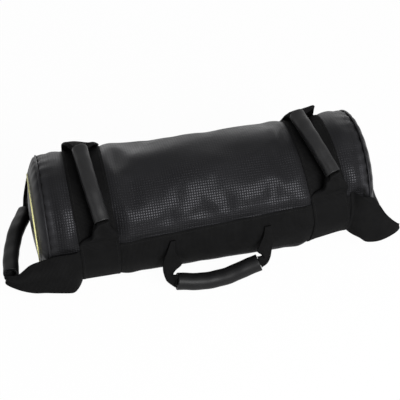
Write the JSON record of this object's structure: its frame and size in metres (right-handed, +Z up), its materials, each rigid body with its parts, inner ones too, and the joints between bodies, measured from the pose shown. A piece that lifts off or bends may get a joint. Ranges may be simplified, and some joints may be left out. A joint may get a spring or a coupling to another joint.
{
  "type": "sandbag trainer",
  "caption": "Cylindrical sandbag trainer: black coated cloth barrel with domed ends, webbing bands, sleeved carry grips on its front, top and ends, a zip and sand-filled inner bags.",
  "frame": {"origin": "centre of the flattened underside, midway between the two end seams, on the surface that the bag lies on", "axes": "+X along the barrel to its right end, -Y to the front with the carry handle, +Z up"},
  "size_m": [0.7021, 0.2561, 0.2493],
  "materials": {
    "coated_cloth": "black coated cloth, embossed with a fine square grid, satin",
    "nylon_webbing": "matte black ribbed webbing",
    "grip_rubber": "smooth charcoal rubber, soft sheen",
    "ring_yellow": "pale yellow, satin",
    "zip_tape": "matte black woven tape",
    "zip_nylon": "black nylon coil",
    "zip_metal": "dark coated metal",
    "filler_cloth": "dark grey plain cloth",
    "sand": "loose dry sand"
  },
  "bodies": {
    "bag": {"barrel_shell": "coated_cloth", "left_end_panel": "coated_cloth", "right_end_panel": "coated_cloth", "left_end_ring": "ring_yellow", "left_seam_binding": "zip_tape", "right_seam_binding": "zip_tape", "zip_upper_tape": "zip_tape", "zip_lower_tape": "zip_tape", "front_band": "nylon_webbing", "back_band": "nylon_webbing", "left_girth_band": "nylon_webbing", "right_girth_band": "nylon_webbing", "zip_upper_teeth": "zip_nylon", "zip_lower_teeth": "zip_nylon", "zip_left_stop": "zip_metal", "zip_right_stop": "zip_metal", "filler_bag_left": "filler_cloth", "sand_fill_left": "sand", "filler_closure_left": "zip_tape", "filler_bag_middle": "filler_cloth", "sand_fill_middle": "sand", "filler_closure_middle": "zip_tape", "filler_bag_right": "filler_cloth", "sand_fill_right": "sand", "filler_closure_right": "zip_tape"},
    "carry_handle": {"carry_handle_grip": "grip_rubber", "carry_handle_webbing_core": "nylon_webbing", "carry_handle_left_arm": "nylon_webbing", "carry_handle_right_arm": "nylon_webbing"},
    "left_end_handle": {"left_end_handle_grip": "grip_rubber", "left_end_handle_webbing_core": "nylon_webbing", "left_end_handle_front_flap": "nylon_webbing", "left_end_handle_back_flap": "nylon_webbing"},
    "right_end_handle": {"right_end_handle_grip": "grip_rubber", "right_end_handle_webbing_core": "nylon_webbing", "right_end_handle_front_flap": "nylon_webbing", "right_end_handle_back_flap": "nylon_webbing"},
    "left_top_handle": {"left_top_handle_grip": "grip_rubber", "left_top_handle_webbing_core": "nylon_webbing", "left_top_handle_front_flare": "nylon_webbing", "left_top_handle_back_flare": "nylon_webbing"},
    "right_top_handle": {"right_top_handle_grip": "grip_rubber", "right_top_handle_webbing_core": "nylon_webbing", "right_top_handle_front_flare": "nylon_webbing", "right_top_handle_back_flare": "nylon_webbing"},
    "zip_slider": {"zip_slider": "zip_metal"},
    "zip_pull": {"zip_pull": "zip_metal"}
  },
  "joints": [
    {"name": "carry_handle_swing", "type": "hinge", "parent": "bag", "child": "carry_handle", "pos_m": [0.0045, -0.11375, 0.113], "axis": [-1, 0, 0], "range_deg": [0, 180]},
    {"name": "left_end_handle_swing", "type": "hinge", "parent": "bag", "child": "left_end_handle", "pos_m": [-0.258, 0, 0.133], "axis": [0, 1, 0], "range_deg": [0, 50], "deforming": ["left_end_handle_front_flap", "left_end_handle_back_flap"]},
    {"name": "right_end_handle_swing", "type": "hinge", "parent": "bag", "child": "right_end_handle", "pos_m": [0.258, 0, 0.103], "axis": [0, -1, 0], "range_deg": [0, 50], "deforming": ["right_end_handle_front_flap", "right_end_handle_back_flap"]},
    {"name": "left_top_handle_lift", "type": "slide", "parent": "bag", "child": "left_top_handle", "axis": [0, -0.4648, 0.8854], "range_m": [0, 0.02], "deforming": ["left_top_handle_front_flare", "left_top_handle_back_flare"]},
    {"name": "right_top_handle_lift", "type": "slide", "parent": "bag", "child": "right_top_handle", "axis": [0, -0.3518, 0.9361], "range_m": [0, 0.02], "deforming": ["right_top_handle_front_flare", "right_top_handle_back_flare"]},
    {"name": "zip_slide", "type": "slide", "parent": "bag", "child": "zip_slider", "axis": [1, 0, 0], "range_m": [0, 0.262]},
    {"name": "zip_pull_swing", "type": "hinge", "parent": "zip_slider", "child": "zip_pull", "pos_m": [-0.125, 0.08299, 0.02828], "axis": [0, 0.6691, 0.7431], "range_deg": [-90, 90]}
  ]
}
